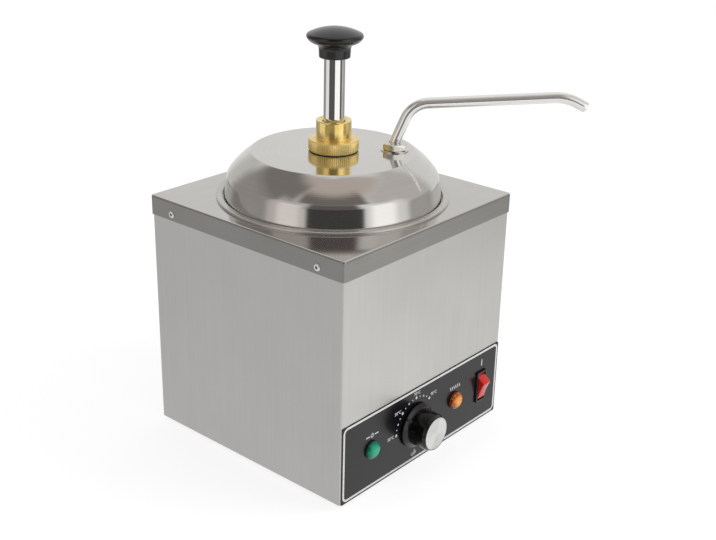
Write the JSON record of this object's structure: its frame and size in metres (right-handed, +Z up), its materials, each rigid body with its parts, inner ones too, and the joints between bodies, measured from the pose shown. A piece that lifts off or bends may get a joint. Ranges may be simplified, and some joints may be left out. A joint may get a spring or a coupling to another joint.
{
  "type": "hot fudge topping warmer",
  "caption": "Square countertop steel warmer with a round inset pot, a domed lid with a push pump and angled spout, and a front control panel.",
  "frame": {"origin": "on the table plane, under the middle of the casing", "axes": "+Z up, controls face -Y, +X to the right as the user faces the controls"},
  "size_m": [0.2657, 0.2835, 0.3669],
  "materials": {
    "casing_steel": "vertical brushed grain",
    "fixing_steel": "satin zinc",
    "pot_steel": "drawn satin",
    "lid_steel": "mirror polished",
    "nickel": "nickel plated",
    "brass": "bright turned",
    "copper": "plain copper",
    "heater_steel": "heat darkened sheath",
    "insulation": "mineral fibre",
    "overlay": "satin printed film",
    "black_gloss": "glossy moulding",
    "phenolic": "moulded phenolic",
    "ceramic": "glazed ceramic",
    "acetal": "white acetal",
    "nylon": "moulded nylon",
    "wire_sleeve": "insulated wire",
    "rubber": "moulded rubber",
    "green_lens": "translucent green",
    "amber_lens": "translucent amber",
    "rocker_red": "glossy red",
    "insert_aluminium": "spun face"
  },
  "bodies": {
    "cabinet": {"back_panel": "casing_steel", "back_screws": "fixing_steel", "base_plate": "casing_steel", "base_screws": "fixing_steel", "bulb_clip": "fixing_steel", "cable_gland": "nylon", "casing": "casing_steel", "control_overlay": "overlay", "cutout_nuts": "fixing_steel", "deck_plate": "casing_steel", "earth_stud": "fixing_steel", "foot_bolts": "fixing_steel", "heater_glands": "brass", "heating_element": "heater_steel", "heating_lamp_lens": "amber_lens", "insulation_pad": "insulation", "insulation_wrap": "insulation", "lamp_clips": "fixing_steel", "lamp_housings": "black_gloss", "lip_rivets": "fixing_steel", "power_lamp_lens": "green_lens", "rubber_feet": "rubber", "switch_housing": "black_gloss", "terminal_block": "ceramic", "thermal_cutout": "phenolic", "thermostat_body": "phenolic", "thermostat_bulb": "copper", "thermostat_screws": "fixing_steel", "top_plate": "casing_steel", "water_well": "pot_steel", "wiring": "wire_sleeve"},
    "pot": {"inset_pot": "pot_steel"},
    "lid": {"lid": "lid_steel", "ring_gasket": "rubber", "pump_ring": "brass", "pump_collar": "brass", "collar_gasket": "rubber", "guide_bush": "acetal", "pump_barrel": "lid_steel", "foot_valve": "brass", "ball_cage": "brass", "riser_tube": "lid_steel", "spout_gland": "nickel", "spout_washer": "lid_steel", "spout_nut": "nickel", "spout_ferrule": "nickel", "return_spring": "fixing_steel"},
    "inlet_ball": {"inlet_ball": "lid_steel"},
    "outlet_ball": {"outlet_ball": "lid_steel"},
    "plunger": {"push_knob": "black_gloss", "plunger_tube": "lid_steel", "knob_stud": "fixing_steel", "piston": "acetal", "piston_rings": "rubber", "rod_stop": "fixing_steel"},
    "spout": {"spout_tube": "lid_steel"},
    "dial": {"thermostat_knob": "black_gloss", "knob_insert": "insert_aluminium", "thermostat_spindle": "brass"},
    "rocker": {"rocker": "rocker_red"}
  },
  "joints": [
    {"name": "pot_lift", "type": "slide", "parent": "cabinet", "child": "pot", "axis": [0, 0, 1], "range_m": [0, 0.135]},
    {"name": "lid_lift", "type": "slide", "parent": "pot", "child": "lid", "axis": [0, 0, 1], "range_m": [0, 0.135]},
    {"name": "plunger_press", "type": "slide", "parent": "lid", "child": "plunger", "axis": [0, 0, -1], "range_m": [0, 0.05], "stiffness_N_per_m": 300, "springref_m": -0.06, "deforming": ["return_spring"]},
    {"name": "spout_swivel", "type": "hinge", "parent": "lid", "child": "spout", "pos_m": [0.03654, -0.03784, 0.26], "axis": [0, 0, 1], "range_deg": [-120, 120]},
    {"name": "inlet_ball_lift", "type": "slide", "parent": "lid", "child": "inlet_ball", "axis": [0, 0, 1], "range_m": [0, 0.003]},
    {"name": "outlet_ball_lift", "type": "slide", "parent": "lid", "child": "outlet_ball", "axis": [0, 0, 1], "range_m": [0, 0.003]},
    {"name": "dial_turn", "type": "hinge", "parent": "cabinet", "child": "dial", "pos_m": [-0.0132, -0.11, 0.041], "axis": [0, -1, 0], "range_deg": [-127, 98]},
    {"name": "rocker_press", "type": "hinge", "parent": "cabinet", "child": "rocker", "pos_m": [0.083, -0.106, 0.041], "axis": [1, 0, 0], "range_deg": [0, 24]}
  ]
}
